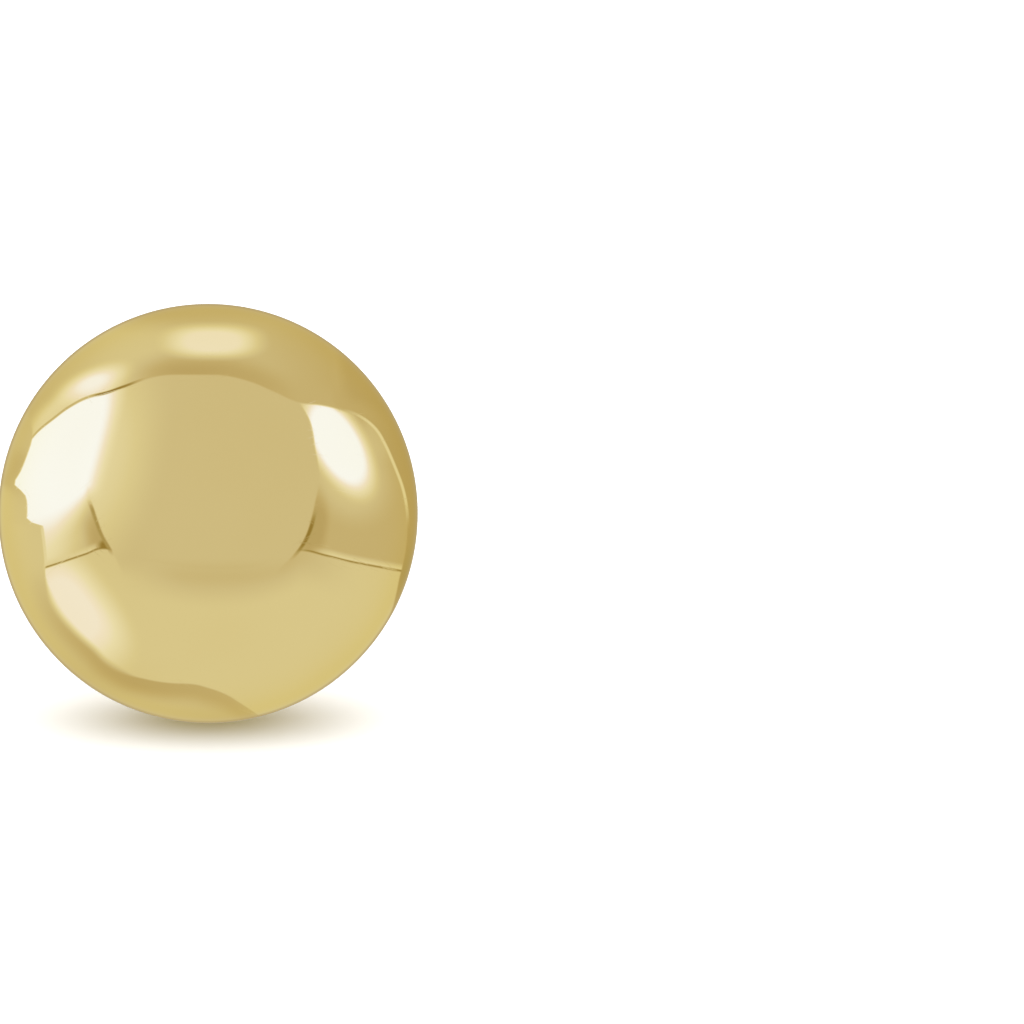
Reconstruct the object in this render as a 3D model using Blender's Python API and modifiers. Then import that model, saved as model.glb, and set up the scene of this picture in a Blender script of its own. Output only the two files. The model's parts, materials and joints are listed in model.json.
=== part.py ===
"""Ball stud earring: a hollow gold ball with its post soldered on, and the friction back on the post.

Each piece is modelled about the post's own axis, with the ball's centre at the local origin and the
post running along +Y. The whole stud then lies as it does on a table: on the ball and on the lower
edge of the friction back, with the post sloping down away from the front.
"""

import math

import bmesh
import bpy
from mathutils import Vector

MM = 0.001

# Ball: a thin hollow sphere, with a vent hole in its back that lets the solder's gas out
BALL_DIAMETER = 8.0 * MM
BALL_WALL = 0.25 * MM
VENT_DIAMETER = 0.6 * MM
VENT_ANGLE = math.radians(42)  # from the post's axis, on the underside

# Post: a round wire soldered to the ball's back, notched near its end
POST_DIAMETER = 0.84 * MM
POST_LENGTH = 10.5 * MM  # from the ball's back to the tip
SOLDER_RADIUS = 0.35 * MM  # hollow fillet of solder round the foot of the post
NOTCH_FROM_TIP = 2.4 * MM  # from the tip to the middle of the notch
NOTCH_WIDTH = 0.7 * MM
NOTCH_DEPTH = 0.09 * MM
TIP_RADIUS = 0.22 * MM  # rounding round the flat end of the post

# Friction back: one sheet, a plate with a hole for the post and two ears rolled up behind it
SHEET_THICKNESS = 0.25 * MM
PLATE_HEIGHT = 4.3 * MM
PLATE_WIDTH = 4.0 * MM  # along the sheet, between the plate's two shoulders
EAR_HEIGHT = 2.7 * MM
SCROLL_RADIUS = 1.15 * MM  # first half turn of an ear, to the middle of the sheet
SCROLL_SPACE = 0.15 * MM  # clear space between one turn of an ear and the next
SCROLL_END = math.radians(110)  # how far the tucked end turns up inside the scroll
POST_CLEARANCE = 0.06 * MM  # all round the post, in the plate's hole
GRIP_CLEARANCE = 0.05 * MM  # between the post and the scrolls on either side of it

# Fineness of the facets
BALL_SIDES = 56
BALL_RINGS = 30
CAVITY_SIDES = 32
CAVITY_RINGS = 16
HOLE_SIDES = 24
ARC_STEPS = 6  # steps in a fillet, the notch, the tip or a plate's shoulder
SCROLL_STEPS = 12  # steps in each half turn of a scroll
PLATE_STEPS = 3  # steps in the plate's straight edge, each side of the middle
SHEET_ROWS = 6
SHARP_ANGLE = math.radians(40)
MERGE_DISTANCE = 0.001 * MM

BALL_RADIUS = BALL_DIAMETER / 2
POST_RADIUS = POST_DIAMETER / 2
TIP_AT = BALL_RADIUS + POST_LENGTH
TIP_FLAT_RADIUS = POST_RADIUS - TIP_RADIUS
NOTCH_AT = TIP_AT - NOTCH_FROM_TIP
SCROLL_PITCH = (SHEET_THICKNESS + SCROLL_SPACE) / 2  # each half turn is tighter by this much
SECOND_RADIUS = SCROLL_RADIUS - SCROLL_PITCH
THIRD_RADIUS = SECOND_RADIUS - SCROLL_PITCH
SCROLL_CENTRE = POST_RADIUS + GRIP_CLEARANCE + SHEET_THICKNESS / 2 + SECOND_RADIUS
GRIP_BEHIND_PLATE = 2 * SCROLL_RADIUS - SECOND_RADIUS
PLATE_AT = NOTCH_AT - GRIP_BEHIND_PLATE  # middle of the plate's sheet, so the scrolls grip the notch
CORNER_RADIUS = (PLATE_HEIGHT - EAR_HEIGHT) / 2
PLATE_STRAIGHT = PLATE_WIDTH / 2 - CORNER_RADIUS  # straight part of the plate's edge, from its middle
EAR_LENGTH = math.pi * (SCROLL_RADIUS + SECOND_RADIUS) + SCROLL_END * THIRD_RADIUS


def arc(centre, radius, start, end, steps):
    """Points on an arc in the plane of (distance from the axis, place along the axis)."""
    turns = [start + (end - start) * step / steps for step in range(steps + 1)]
    return [(centre[0] + radius * math.cos(a), centre[1] + radius * math.sin(a)) for a in turns]


def notch_outline():
    """The notch's shallow round bottom, from its ball side to its tip side."""
    half = NOTCH_WIDTH / 2
    radius = (half * half + NOTCH_DEPTH * NOTCH_DEPTH) / (2 * NOTCH_DEPTH)
    centre = (POST_RADIUS - NOTCH_DEPTH + radius, NOTCH_AT)
    reach = math.asin(half / radius)
    return arc(centre, radius, math.pi + reach, math.pi - reach, ARC_STEPS)


def ball_and_post_outline():
    """Outline of the ball, the solder and the post, from the ball's front to the post's tip."""
    solder_centre_out = POST_RADIUS + SOLDER_RADIUS
    solder_slope = math.asin(solder_centre_out / (BALL_RADIUS + SOLDER_RADIUS))
    solder_centre_at = (BALL_RADIUS + SOLDER_RADIUS) * math.cos(solder_slope)
    quarter = math.pi / 2
    ball = arc((0, 0), BALL_RADIUS, -quarter, quarter - solder_slope, BALL_RINGS)
    solder = arc(
        (solder_centre_out, solder_centre_at),
        SOLDER_RADIUS,
        3 * quarter - solder_slope,
        2 * quarter,
        ARC_STEPS,
    )
    tip = arc((TIP_FLAT_RADIUS, TIP_AT - TIP_RADIUS), TIP_RADIUS, 0, quarter, ARC_STEPS)
    front = [(0, -BALL_RADIUS)]
    return front + ball[1:] + solder[1:] + notch_outline() + tip + [(0, TIP_AT)]


def cavity_outline():
    """Outline of the tool that hollows the ball: a sphere with the vent's drill on it."""
    inner = BALL_RADIUS - BALL_WALL
    vent = VENT_DIAMETER / 2
    neck = math.pi / 2 - math.asin(vent / inner)
    sphere = arc((0, 0), inner, -math.pi / 2, neck, CAVITY_RINGS)
    drill_end = BALL_RADIUS + BALL_WALL
    return [(0, -inner)] + sphere[1:] + [(vent, drill_end), (0, drill_end)]


def linked(name, mesh, collection, parent):
    """A new object in the collection, carried by the parent."""
    piece = bpy.data.objects.new(name, mesh)
    collection.objects.link(piece)
    piece.parent = parent
    return piece


def turned(name, outline, sides, collection, parent):
    """A solid turned about the local Y axis from its outline, which is given front to back."""
    mesh = bpy.data.meshes.new(name)
    points = [(out, along, 0) for out, along in reversed(outline)]
    edges = [(i, i + 1) for i in range(len(points) - 1)]
    mesh.from_pydata(points, edges, [])
    piece = linked(name, mesh, collection, parent)
    screw = piece.modifiers.new("turn", "SCREW")
    screw.axis = "Y"
    screw.steps = sides
    screw.render_steps = sides
    screw.use_merge_vertices = True
    screw.merge_threshold = MERGE_DISTANCE
    return piece


def cutter(piece):
    """Marks a piece as a tool that only cuts."""
    piece.hide_render = True
    piece.display_type = "WIRE"
    return piece


def cut(piece, tool):
    """Cuts the tool out of the piece."""
    boolean = piece.modifiers.new("cut", "BOOLEAN")
    boolean.operation = "DIFFERENCE"
    boolean.solver = "EXACT"
    boolean.object = tool


def gold(name, colour, roughness):
    """A polished gold finish."""
    material = bpy.data.materials.new(name)
    material.use_nodes = True
    shader = material.node_tree.nodes["Principled BSDF"]
    shader.inputs["Base Color"].default_value = (*colour, 1)
    shader.inputs["Metallic"].default_value = 1
    shader.inputs["Roughness"].default_value = roughness
    return material


def make_ball_and_post(parts, cutters, parent):
    """The hollow ball and its soldered post, as one solid."""
    piece = turned("ball_and_post", ball_and_post_outline(), BALL_SIDES, parts, parent)
    cavity = turned("cavity_tool", cavity_outline(), CAVITY_SIDES, cutters, parent)
    cavity.rotation_euler = (-VENT_ANGLE, 0, 0)
    cut(piece, cutter(cavity))
    piece.data.materials.append(gold("polished_gold", (0.86, 0.69, 0.33), 0.06))


def sheet_stations():
    """Distances along the sheet from the middle of the plate to the tucked end of an ear."""
    edge = [PLATE_STRAIGHT * step / PLATE_STEPS for step in range(PLATE_STEPS)]
    corner = arc((PLATE_STRAIGHT, 0), CORNER_RADIUS, math.pi / 2, 0, ARC_STEPS)
    shoulder = [along for along, _ in corner]
    steps = round(SCROLL_STEPS * (2 + SCROLL_END / math.pi))
    ear_step = (SCROLL_CENTRE + EAR_LENGTH - shoulder[-1]) / steps
    ear = [shoulder[-1] + ear_step * step for step in range(1, steps + 1)]
    return edge + shoulder + ear


def half_height(distance):
    """Half the sheet's height at this distance along it from the middle of the plate."""
    if distance <= PLATE_STRAIGHT:
        return PLATE_HEIGHT / 2
    past_straight = min(distance - PLATE_STRAIGHT, CORNER_RADIUS)
    return EAR_HEIGHT / 2 + math.sqrt(CORNER_RADIUS * CORNER_RADIUS - past_straight * past_straight)


def sheet_point(distance):
    """(place across, place behind the plate) of the sheet's middle: flat, then ever tighter half turns."""
    if distance <= SCROLL_CENTRE:
        return distance, 0
    left = distance - SCROLL_CENTRE
    behind = 0
    radius = SCROLL_RADIUS
    side = 1
    while left > math.pi * radius:
        left -= math.pi * radius
        behind += 2 * side * radius
        radius -= SCROLL_PITCH
        side = -side
    turn = left / radius
    across = SCROLL_CENTRE + side * radius * math.sin(turn)
    return across, behind + side * radius * (1 - math.cos(turn))


def make_sheet():
    """A flat grid bent into the plate and its two ears, as the middle surface of the sheet."""
    stations = sheet_stations()
    stations = [-distance for distance in reversed(stations[1:])] + stations
    columns = len(stations) - 1
    grid = bmesh.new()
    bmesh.ops.create_grid(grid, x_segments=columns, y_segments=SHEET_ROWS, size=1)
    for vert in grid.verts:
        distance = stations[round((vert.co.x + 1) / 2 * columns)]
        across, behind = sheet_point(abs(distance))
        up = vert.co.y * half_height(abs(distance))
        vert.co = Vector((math.copysign(across, distance), PLATE_AT + behind, up))
    mesh = bpy.data.meshes.new("friction_back")
    grid.to_mesh(mesh)
    grid.free()
    mesh.shade_smooth()
    mesh.set_sharp_from_angle(angle=SHARP_ANGLE)
    return mesh


def make_friction_back(parts, cutters, parent):
    """The plate with its hole and the two rolled ears, as one solid."""
    piece = linked("friction_back", make_sheet(), parts, parent)
    solidify = piece.modifiers.new("sheet", "SOLIDIFY")
    solidify.thickness = SHEET_THICKNESS
    solidify.offset = 0
    drill_length = SHEET_THICKNESS + 2 * SCROLL_SPACE
    hole = turned(
        "post_hole_tool",
        [
            (0, -drill_length / 2),
            (POST_RADIUS + POST_CLEARANCE, -drill_length / 2),
            (POST_RADIUS + POST_CLEARANCE, drill_length / 2),
            (0, drill_length / 2),
        ],
        HOLE_SIDES,
        cutters,
        parent,
    )
    hole.location = (0, PLATE_AT, 0)
    cut(piece, cutter(hole))
    piece.data.materials.append(gold("stamped_gold", (0.84, 0.66, 0.31), 0.16))


def rest_slope():
    """How far the post slopes down when the stud lies on its ball and whatever touches next."""
    sheet_back = PLATE_AT + SHEET_THICKNESS / 2
    scroll_back = PLATE_AT + 2 * SCROLL_RADIUS + SHEET_THICKNESS / 2
    edges = (
        (sheet_back, PLATE_HEIGHT / 2),
        (scroll_back, EAR_HEIGHT / 2),
        (TIP_AT, TIP_FLAT_RADIUS),
    )
    return min(
        math.asin(BALL_RADIUS / math.hypot(along, out)) - math.atan2(out, along)
        for along, out in edges
    )


def make_lying_axis(collection):
    """The empty that lays the stud on the table, its box's bottom centre at the world origin."""
    slope = rest_slope()
    rounding_at = (TIP_AT - TIP_RADIUS) * math.cos(slope) + TIP_FLAT_RADIUS * math.sin(slope)
    back = rounding_at + TIP_RADIUS
    axis = bpy.data.objects.new("post_axis", None)
    collection.objects.link(axis)
    axis.location = (0, (BALL_RADIUS - back) / 2, BALL_RADIUS)
    axis.rotation_euler = (-slope, 0, 0)
    return axis


def new_collection(name):
    """A collection of the scene."""
    collection = bpy.data.collections.new(name)
    bpy.context.scene.collection.children.link(collection)
    return collection


def main():
    """Builds the stud in an empty scene."""
    for old in list(bpy.data.objects):
        bpy.data.objects.remove(old, do_unlink=True)
    parts = new_collection("ball_stud_earring")
    cutters = new_collection("cutters")
    axis = make_lying_axis(parts)
    make_ball_and_post(parts, cutters, axis)
    make_friction_back(parts, cutters, axis)


main()
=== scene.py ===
"""The finished look of a polished gold ball stud earring, lying on a white table in a light tent."""

from __future__ import annotations

import json
import logging
import math
from collections.abc import Sequence
from dataclasses import dataclass
from enum import Enum
from typing import Any, Union

import bmesh
import bpy
from mathutils import Matrix, Vector, noise

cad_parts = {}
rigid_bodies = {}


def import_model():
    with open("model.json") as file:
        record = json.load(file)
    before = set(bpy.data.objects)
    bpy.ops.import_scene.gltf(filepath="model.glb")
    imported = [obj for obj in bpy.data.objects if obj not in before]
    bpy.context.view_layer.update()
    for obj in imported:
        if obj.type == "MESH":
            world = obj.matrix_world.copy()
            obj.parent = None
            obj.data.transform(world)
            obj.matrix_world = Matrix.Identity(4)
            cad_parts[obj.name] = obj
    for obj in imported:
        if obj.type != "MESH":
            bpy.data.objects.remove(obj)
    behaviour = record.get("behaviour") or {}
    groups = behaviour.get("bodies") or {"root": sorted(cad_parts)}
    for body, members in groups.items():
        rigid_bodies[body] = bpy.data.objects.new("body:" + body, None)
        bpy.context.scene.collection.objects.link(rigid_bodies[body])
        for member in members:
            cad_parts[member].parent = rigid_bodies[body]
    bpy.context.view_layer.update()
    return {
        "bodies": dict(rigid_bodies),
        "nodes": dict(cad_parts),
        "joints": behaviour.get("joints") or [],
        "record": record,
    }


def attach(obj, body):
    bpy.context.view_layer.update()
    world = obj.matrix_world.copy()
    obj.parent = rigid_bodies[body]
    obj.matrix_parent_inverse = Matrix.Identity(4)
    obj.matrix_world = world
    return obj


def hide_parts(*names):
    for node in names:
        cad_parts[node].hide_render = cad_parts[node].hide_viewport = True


LOG = logging.getLogger("ball_stud")

MM = 0.001
TURN = 2 * math.pi
QUARTER = math.pi / 2
MERGE_DISTANCE = 0.0002 * MM

Socket = bpy.types.NodeSocket
Value = Union[float, Socket]
Colour = tuple[float, float, float]
Span = tuple[float, float]
SoftSpan = tuple[float, float, float]
Line = tuple[Span, ...]


class Zone(Enum):
    """The stretches of the soldered ball and post, each with its own finish."""

    BALL = 0
    SOLDER = 1
    POST = 2


class Coordinates(Enum):
    """Where a pattern on a surface reads its place."""

    OBJECT = "Object"
    ALONG_THE_SHEET = "UV"


@dataclass(frozen=True)
class StudAxis:
    """How the stud lies: the post's tip, its direction, and the ball's centre on the same line."""

    centre: Vector
    along: Vector

    @classmethod
    def from_frame(cls, frame: dict[str, Any], tip_at: float) -> StudAxis:
        """Reads the post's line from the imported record.

        Args:
            frame: What the frame's loader returned.
            tip_at: The distance from the ball's centre to the post's tip.

        Returns:
            The axis, in the row's frame.
        """
        mounts = {mount["name"]: mount for mount in frame["record"]["mounts"]}
        tip = mounts["post_tip"]
        along = Vector(tip["axis"]).normalized()
        return cls(Vector(tip["pos_m"]) - along * tip_at, along)

    @property
    def slope(self) -> float:
        """The angle by which the post slopes down, in radians."""
        return math.asin(-self.along.z)

    def matrix(self) -> Matrix:
        """The placement of a piece that was modelled about the local Y axis."""
        return Matrix.Translation(self.centre) @ Matrix.Rotation(-self.slope, 4, "X")


class Graph:
    """Adds nodes to one node tree. Each input may be a number, a tuple or another node's output."""

    CRISP = 0.006
    RIDGE_CREST = 0.25

    def __init__(self, tree: bpy.types.NodeTree) -> None:
        """Keeps the tree.

        Args:
            tree: The material's, world's or group's node tree.
        """
        self.tree = tree

    def node(self, kind: str, **settings: Any) -> bpy.types.Node:
        """Adds a node and sets its properties.

        Args:
            kind: The node's type name, without its ShaderNode prefix.
            settings: Properties of the node.

        Returns:
            The new node.
        """
        node = self.tree.nodes.new("ShaderNode" + kind)
        for name, value in settings.items():
            setattr(node, name, value)
        return node

    def feed(self, socket: Socket, value: Any) -> None:
        """Links an output to a socket, or sets the socket's own value.

        Args:
            socket: The input to feed.
            value: A node's output, a number or a tuple.
        """
        if isinstance(value, Socket):
            self.tree.links.new(value, socket)
        else:
            socket.default_value = value

    def maths(self, operation: str, first: Value, second: Value = 0.0, third: Value = 0.0) -> Socket:
        """Adds a Math node.

        Args:
            operation: The node's operation.
            first: Its first input.
            second: Its second input.
            third: Its third input.

        Returns:
            The result.
        """
        node = self.node("Math", operation=operation)
        for socket, value in zip(node.inputs, (first, second, third)):
            self.feed(socket, value)
        return node.outputs[0]

    def vector(self, operation: str, first: Any, second: Any = (0.0, 0.0, 0.0)) -> Socket:
        """Adds a Vector Math node.

        Args:
            operation: The node's operation.
            first: Its first input.
            second: Its second input.

        Returns:
            The number it gives, for a dot product or a length, or else the vector.
        """
        node = self.node("VectorMath", operation=operation)
        self.feed(node.inputs[0], first)
        self.feed(node.inputs[1], second)
        return node.outputs["Value" if operation in ("DOT_PRODUCT", "LENGTH") else "Vector"]

    def soft_step(
        self, value: Value, start: Value, end: Value, low: Value = 0.0, high: Value = 1.0
    ) -> Socket:
        """Eases from low to high while the value goes from start to end.

        Args:
            value: What is looked at.
            start: Where the step starts.
            end: Where it ends; it may be less than start.
            low: The result before the start.
            high: The result past the end.

        Returns:
            The eased number.
        """
        node = self.node("MapRange", interpolation_type="SMOOTHSTEP")
        for name, given in (("Value", value), ("From Min", start), ("From Max", end)):
            self.feed(node.inputs[name], given)
        self.feed(node.inputs["To Min"], low)
        self.feed(node.inputs["To Max"], high)
        return node.outputs["Result"]

    def blend(self, under: Value, over: Value, mask: Value) -> Socket:
        """Mixes two numbers.

        Args:
            under: The result where the mask is 0.
            over: The result where the mask is 1.
            mask: The share of the second.

        Returns:
            The mix.
        """
        node = self.node("Mix", data_type="FLOAT")
        self.feed(node.inputs[0], mask)
        self.feed(node.inputs[2], under)
        self.feed(node.inputs[3], over)
        return node.outputs[0]

    def blend_colour(self, under: Any, over: Any, mask: Value) -> Socket:
        """Mixes two colours.

        Args:
            under: The result where the mask is 0.
            over: The result where the mask is 1.
            mask: The share of the second.

        Returns:
            The mix.
        """
        node = self.node("Mix", data_type="RGBA")
        self.feed(node.inputs[0], mask)
        self.feed(node.inputs[6], under)
        self.feed(node.inputs[7], over)
        return node.outputs[2]

    def line(self, across: Value, points: Sequence[tuple[float, float]]) -> Socket:
        """A line through a few points, each place between -1 and 1.

        Args:
            across: The place across.
            points: The line's points, from left to right.

        Returns:
            The line's height there.
        """
        node = self.node("FloatCurve")
        curve = node.mapping.curves[0]
        while len(curve.points) < len(points):
            curve.points.new(0.5, 0.5)
        for point, (place, height) in zip(curve.points, points):
            point.location = ((place + 1) / 2, (height + 1) / 2)
            point.handle_type = "AUTO_CLAMPED"
        node.mapping.update()
        self.feed(node.inputs["Value"], self.maths("MULTIPLY_ADD", across, 0.5, 0.5))
        return self.maths("MULTIPLY_ADD", node.outputs[0], 2.0, -1.0)

    def above_nought(self, value: Value) -> Socket:
        """A crisp but not jagged mask of where a value is above nought."""
        return self.soft_step(value, -self.CRISP, self.CRISP)

    def between(self, value: Value, start: float, end: float, soft: float) -> Socket:
        """A mask of a span with soft ends."""
        opened = self.soft_step(value, start - soft, start + soft)
        return self.maths("MULTIPLY", opened, self.soft_step(value, end + soft, end - soft))

    def ridge(self, distance: Value, width: float, strength: Value) -> Socket:
        """A mask of a narrow line where a distance is nought."""
        near = self.soft_step(self.maths("ABSOLUTE", distance), width, self.RIDGE_CREST * width)
        return self.maths("MULTIPLY", near, strength)

    def group(self, tree: bpy.types.NodeTree, **inputs: Any) -> bpy.types.Node:
        """Places a shared group and feeds its inputs.

        Args:
            tree: The group.
            inputs: Values or outputs by the input's name, with _ for a space.

        Returns:
            The group's node.
        """
        node = self.node("Group", node_tree=tree)
        for name, value in inputs.items():
            self.feed(node.inputs[name.replace("_", " ")], value)
        return node


def new_group(
    name: str, inputs: dict[str, Any], outputs: dict[str, str]
) -> tuple[bpy.types.NodeTree, Graph, bpy.types.Node, bpy.types.Node]:
    """Starts a shared node group.

    Args:
        name: The group's name.
        inputs: Default value by socket name; a tuple makes a vector socket.
        outputs: Socket type by socket name.

    Returns:
        The group, its graph, and its input and output nodes.
    """
    tree = bpy.data.node_groups.new(name, "ShaderNodeTree")
    for socket_name, default in inputs.items():
        kind = "NodeSocketVector" if isinstance(default, tuple) else "NodeSocketFloat"
        socket = tree.interface.new_socket(socket_name, in_out="INPUT", socket_type=kind)
        socket.default_value = default
    for socket_name, kind in outputs.items():
        tree.interface.new_socket(socket_name, in_out="OUTPUT", socket_type=kind)
    return tree, Graph(tree), tree.nodes.new("NodeGroupInput"), tree.nodes.new("NodeGroupOutput")


class SharedEffects:
    """The effects that more than one finish or light uses, each built once."""

    HAZE_STEP = (0.38, 0.68)
    TONE_STEP = (0.3, 0.7)
    MARK_WAYS = ((1.0, 0.3, 0.25), (-0.55, 0.2, 0.85), (0.7, -0.25, 0.8), (-0.15, 0.42, 1.0))
    MARK_ASIDE = (0.3, 0.2, 1.0)
    MARK_FLOOR = 0.78
    MARK_FLOOR_BY_SHARE = -0.3
    MARK_SOFTNESS = 0.06
    MARK_FADE = (0.9, 0.6)
    BEND_SCALE = 0.5
    BEND_REACH = 0.25

    def __init__(self) -> None:
        """Builds the groups."""
        self.haze = self._haze()
        self.scratches = self._scratches()
        self.tone = self._tone()
        self.patch = self._patch()

    def _haze(self) -> bpy.types.NodeTree:
        """Soft patches where the polish is a little duller.

        Returns:
            The group, which puts out a roughness.
        """
        tree, graph, given, result = new_group(
            "polish_haze",
            {"Place": (0.0, 0.0, 0.0), "Patch Size": 1.0, "Clear": 0.04, "Dull": 0.08},
            {"Roughness": "NodeSocketFloat"},
        )
        patches = graph.node("TexNoise", noise_dimensions="3D")
        graph.feed(patches.inputs["Vector"], given.outputs["Place"])
        graph.feed(patches.inputs["Scale"], graph.maths("DIVIDE", 1.0, given.outputs["Patch Size"]))
        patches.inputs["Detail"].default_value = 4
        low_and_high = (given.outputs["Clear"], given.outputs["Dull"])
        graph.feed(result.inputs[0], graph.soft_step(patches.outputs[0], *self.HAZE_STEP, *low_and_high))
        return tree

    def _scratches(self) -> bpy.types.NodeTree:
        """Hairline marks from wiping: where thin slabs of four directions meet the surface.

        Returns:
            The group, which puts out a mask.
        """
        tree, graph, given, result = new_group(
            "hairline_scratches",
            {"Place": (0.0, 0.0, 0.0), "Length": 1.0, "Width": 0.02, "Share": 0.2},
            {"Mask": "NodeSocketFloat"},
        )
        place, length, width, share = list(given.outputs)[:4]
        long_way = graph.maths("DIVIDE", 1.0, length)
        short_way = graph.maths("DIVIDE", 1.0, width)
        floor = graph.maths("MULTIPLY_ADD", share, self.MARK_FLOOR_BY_SHARE, self.MARK_FLOOR)
        ceiling = graph.maths("ADD", floor, self.MARK_SOFTNESS)
        bend = graph.node("TexNoise", noise_dimensions="3D")
        bend.inputs["Scale"].default_value = self.BEND_SCALE
        bend.inputs["Detail"].default_value = 0.0
        graph.feed(bend.inputs["Vector"], graph.vector("MULTIPLY", place, long_way))
        bent = graph.vector("MULTIPLY", bend.outputs["Color"], length)
        bent = graph.vector("ADD", place, graph.vector("MULTIPLY", bent, (self.BEND_REACH,) * 3))
        outward = graph.vector("NORMALIZE", place)
        total: Value = 0.0
        for across in self.MARK_WAYS:
            thin = Vector(across).normalized()
            side = thin.cross(Vector(self.MARK_ASIDE)).normalized()
            other = thin.cross(side)
            slab = graph.node("CombineXYZ")
            ways = ((thin, short_way), (side, long_way), (other, long_way))
            for socket, (way, scale) in zip(slab.inputs, ways):
                along = graph.vector("DOT_PRODUCT", bent, tuple(way))
                graph.feed(socket, graph.maths("MULTIPLY", along, scale))
            marks = graph.node("TexNoise", noise_dimensions="3D")
            marks.inputs["Scale"].default_value = 1.0
            marks.inputs["Detail"].default_value = 1.0
            graph.feed(marks.inputs["Vector"], slab.outputs[0])
            mark = graph.soft_step(marks.outputs[0], floor, ceiling)
            flat_on = graph.maths("ABSOLUTE", graph.vector("DOT_PRODUCT", outward, tuple(thin)))
            mark = graph.maths("MULTIPLY", mark, graph.soft_step(flat_on, *self.MARK_FADE))
            total = graph.maths("MAXIMUM", total, mark)
        graph.feed(result.inputs[0], total)
        return tree

    def _tone(self) -> bpy.types.NodeTree:
        """A slow drift of the gold between two near tones.

        Returns:
            The group, which puts out a mask.
        """
        tree, graph, given, result = new_group(
            "gold_tone",
            {"Place": (0.0, 0.0, 0.0), "Patch Size": 1.0},
            {"Mask": "NodeSocketFloat"},
        )
        drift = graph.node("TexNoise", noise_dimensions="3D")
        graph.feed(drift.inputs["Vector"], given.outputs["Place"])
        graph.feed(drift.inputs["Scale"], graph.maths("DIVIDE", 1.0, given.outputs["Patch Size"]))
        drift.inputs["Detail"].default_value = 2
        graph.feed(result.inputs[0], graph.soft_step(drift.outputs[0], *self.TONE_STEP))
        return tree

    def _patch(self) -> bpy.types.NodeTree:
        """A soft-edged rounded patch.

        Returns:
            The group, which puts out a mask.
        """
        tree, graph, given, result = new_group(
            "soft_patch",
            {
                "Place": (0.0, 0.0, 0.0),
                "Centre": (0.0, 0.0, 0.0),
                "Half Size": (0.1, 0.1, 1.0),
                "Turn": 0.0,
                "Squareness": 2.0,
                "Softness": 0.3,
            },
            {"Mask": "NodeSocketFloat"},
        )
        turned = graph.node("VectorRotate", rotation_type="Z_AXIS")
        graph.feed(turned.inputs["Vector"], given.outputs["Place"])
        graph.feed(turned.inputs["Center"], given.outputs["Centre"])
        graph.feed(turned.inputs["Angle"], graph.maths("MULTIPLY", given.outputs["Turn"], -1.0))
        offset = graph.vector("SUBTRACT", turned.outputs[0], given.outputs["Centre"])
        share = graph.vector("ABSOLUTE", graph.vector("DIVIDE", offset, given.outputs["Half Size"]))
        parts = graph.node("SeparateXYZ")
        graph.feed(parts.inputs[0], share)
        power = given.outputs["Squareness"]
        total = graph.maths(
            "ADD",
            graph.maths("POWER", parts.outputs["X"], power),
            graph.maths("POWER", parts.outputs["Y"], power),
        )
        reach = graph.maths("POWER", total, graph.maths("DIVIDE", 1.0, power))
        outer = graph.maths("ADD", 1.0, given.outputs["Softness"])
        inner = graph.maths("SUBTRACT", 1.0, given.outputs["Softness"])
        graph.feed(result.inputs[0], graph.soft_step(reach, outer, inner))
        return tree


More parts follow.
